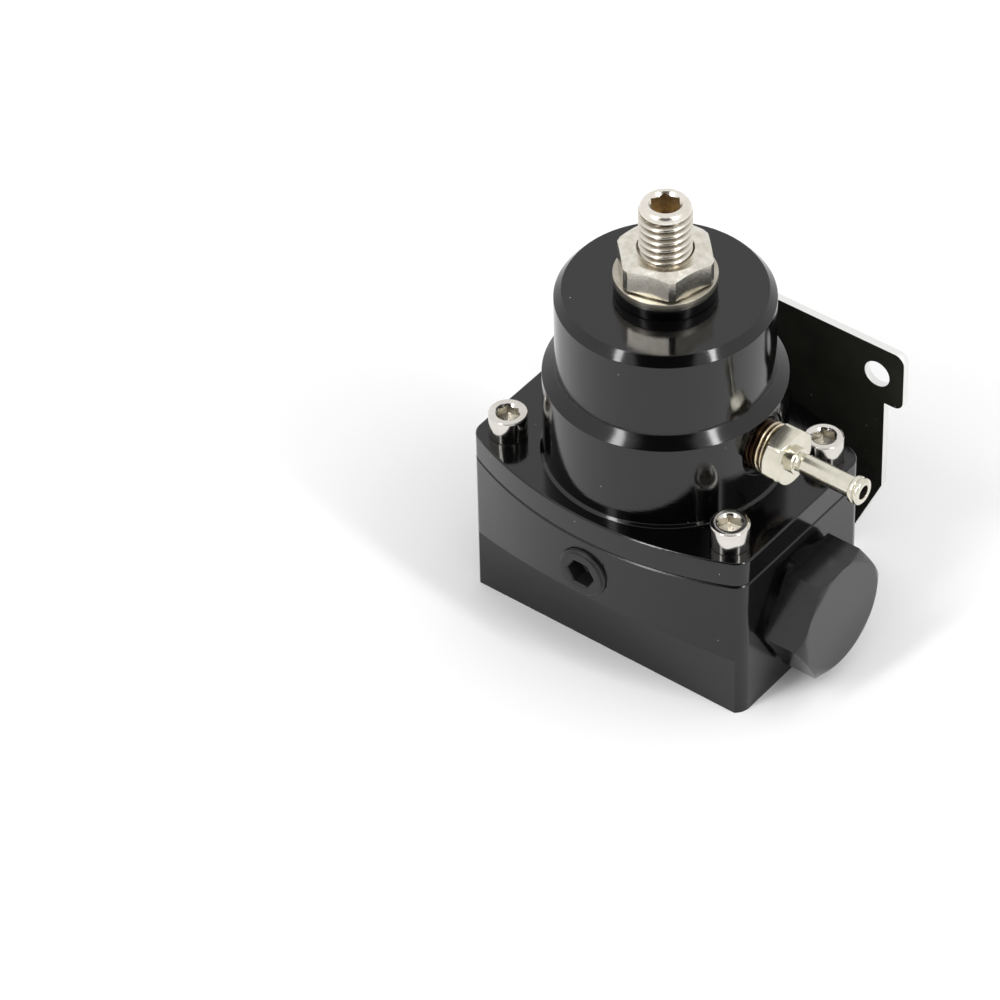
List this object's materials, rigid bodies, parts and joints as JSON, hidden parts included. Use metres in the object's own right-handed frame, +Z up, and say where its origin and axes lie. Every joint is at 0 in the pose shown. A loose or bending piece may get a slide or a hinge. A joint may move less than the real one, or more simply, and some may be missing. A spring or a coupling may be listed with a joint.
{
  "type": "fuel pressure regulator",
  "caption": "Black anodised bypass fuel pressure regulator: milled base with side inlets, round stepped bonnet, adjusting screw with lock nut, hose nipple and sheet bracket.",
  "frame": {"origin": "on the bonnet axis at the underside of the base, the middle of the return port's mouth", "axes": "+Z up along the bonnet axis, +X towards the side plug and the nipple, -Y towards the gauge port"},
  "size_m": [0.0733, 0.0581, 0.0922],
  "materials": {
    "satin_black_aluminium": "satin black anodised, milled",
    "gloss_black_aluminium": "bright black anodised, turned",
    "matt_black_aluminium": "matt black anodised",
    "stainless_steel": "bright machined",
    "zinc_plated_steel": "bright zinc plate",
    "spring_steel": "drawn wire",
    "bearing_steel": "ground ball",
    "brass": "turned",
    "nickel_plated_brass": "bright nickel plate",
    "black_oxide_steel": "black oxide",
    "black_coated_sheet": "gloss black coating over bare cut edges",
    "black_rubber": "moulded",
    "nitrile_fabric": "fabric reinforced rubber"
  },
  "bodies": {
    "housing": {"base_body": "satin_black_aluminium", "bonnet": "gloss_black_aluminium", "flange_screws": "stainless_steel", "diaphragm": "nitrile_fabric", "valve_seat": "brass", "seat_ring": "black_rubber", "adjuster_seal": "black_rubber", "vacuum_nipple": "nickel_plated_brass", "gauge_port_plug": "black_oxide_steel", "side_port_plug": "matt_black_aluminium", "side_plug_ring": "black_rubber", "mounting_bracket": "black_coated_sheet", "bracket_screws": "black_oxide_steel"},
    "valve": {"valve_poppet": "brass", "lower_plate": "zinc_plated_steel", "spring_plate": "zinc_plated_steel", "stem_nut": "zinc_plated_steel", "pressure_spring": "spring_steel"},
    "spring_seat": {"spring_button": "zinc_plated_steel", "thrust_ball": "bearing_steel"},
    "adjuster": {"adjusting_screw": "stainless_steel"},
    "washer": {"lock_washer": "stainless_steel"},
    "nut": {"lock_nut": "stainless_steel"}
  },
  "joints": [
    {"name": "valve_lift", "type": "slide", "parent": "housing", "child": "valve", "axis": [0, 0, 1], "range_m": [0, 0.0008], "stiffness_N_per_m": 200, "deforming": ["diaphragm", "pressure_spring"]},
    {"name": "adjuster_travel", "type": "slide", "parent": "housing", "child": "spring_seat", "axis": [0, 0, 1], "range_m": [-0.005, 0.003], "deforming": ["pressure_spring"]},
    {"name": "adjuster_turn", "type": "hinge", "parent": "spring_seat", "child": "adjuster", "pos_m": [0, 0, 0.0889], "axis": [0, 0, 1], "range_deg": [-1201, 721]},
    {"name": "washer_lift", "type": "slide", "parent": "housing", "child": "washer", "axis": [0, 0, 1], "range_m": [0, 0.0045]},
    {"name": "nut_turn", "type": "hinge", "parent": "washer", "child": "nut", "pos_m": [0, 0, 0.0799], "axis": [0, 0, 1], "range_deg": [0, 1081]}
  ],
  "couplings": [
    {"joint": "adjuster_turn", "follows": "adjuster_travel", "rad_per_m": 4188.8},
    {"joint": "nut_turn", "follows": "washer_lift", "rad_per_m": 4188.8}
  ]
}
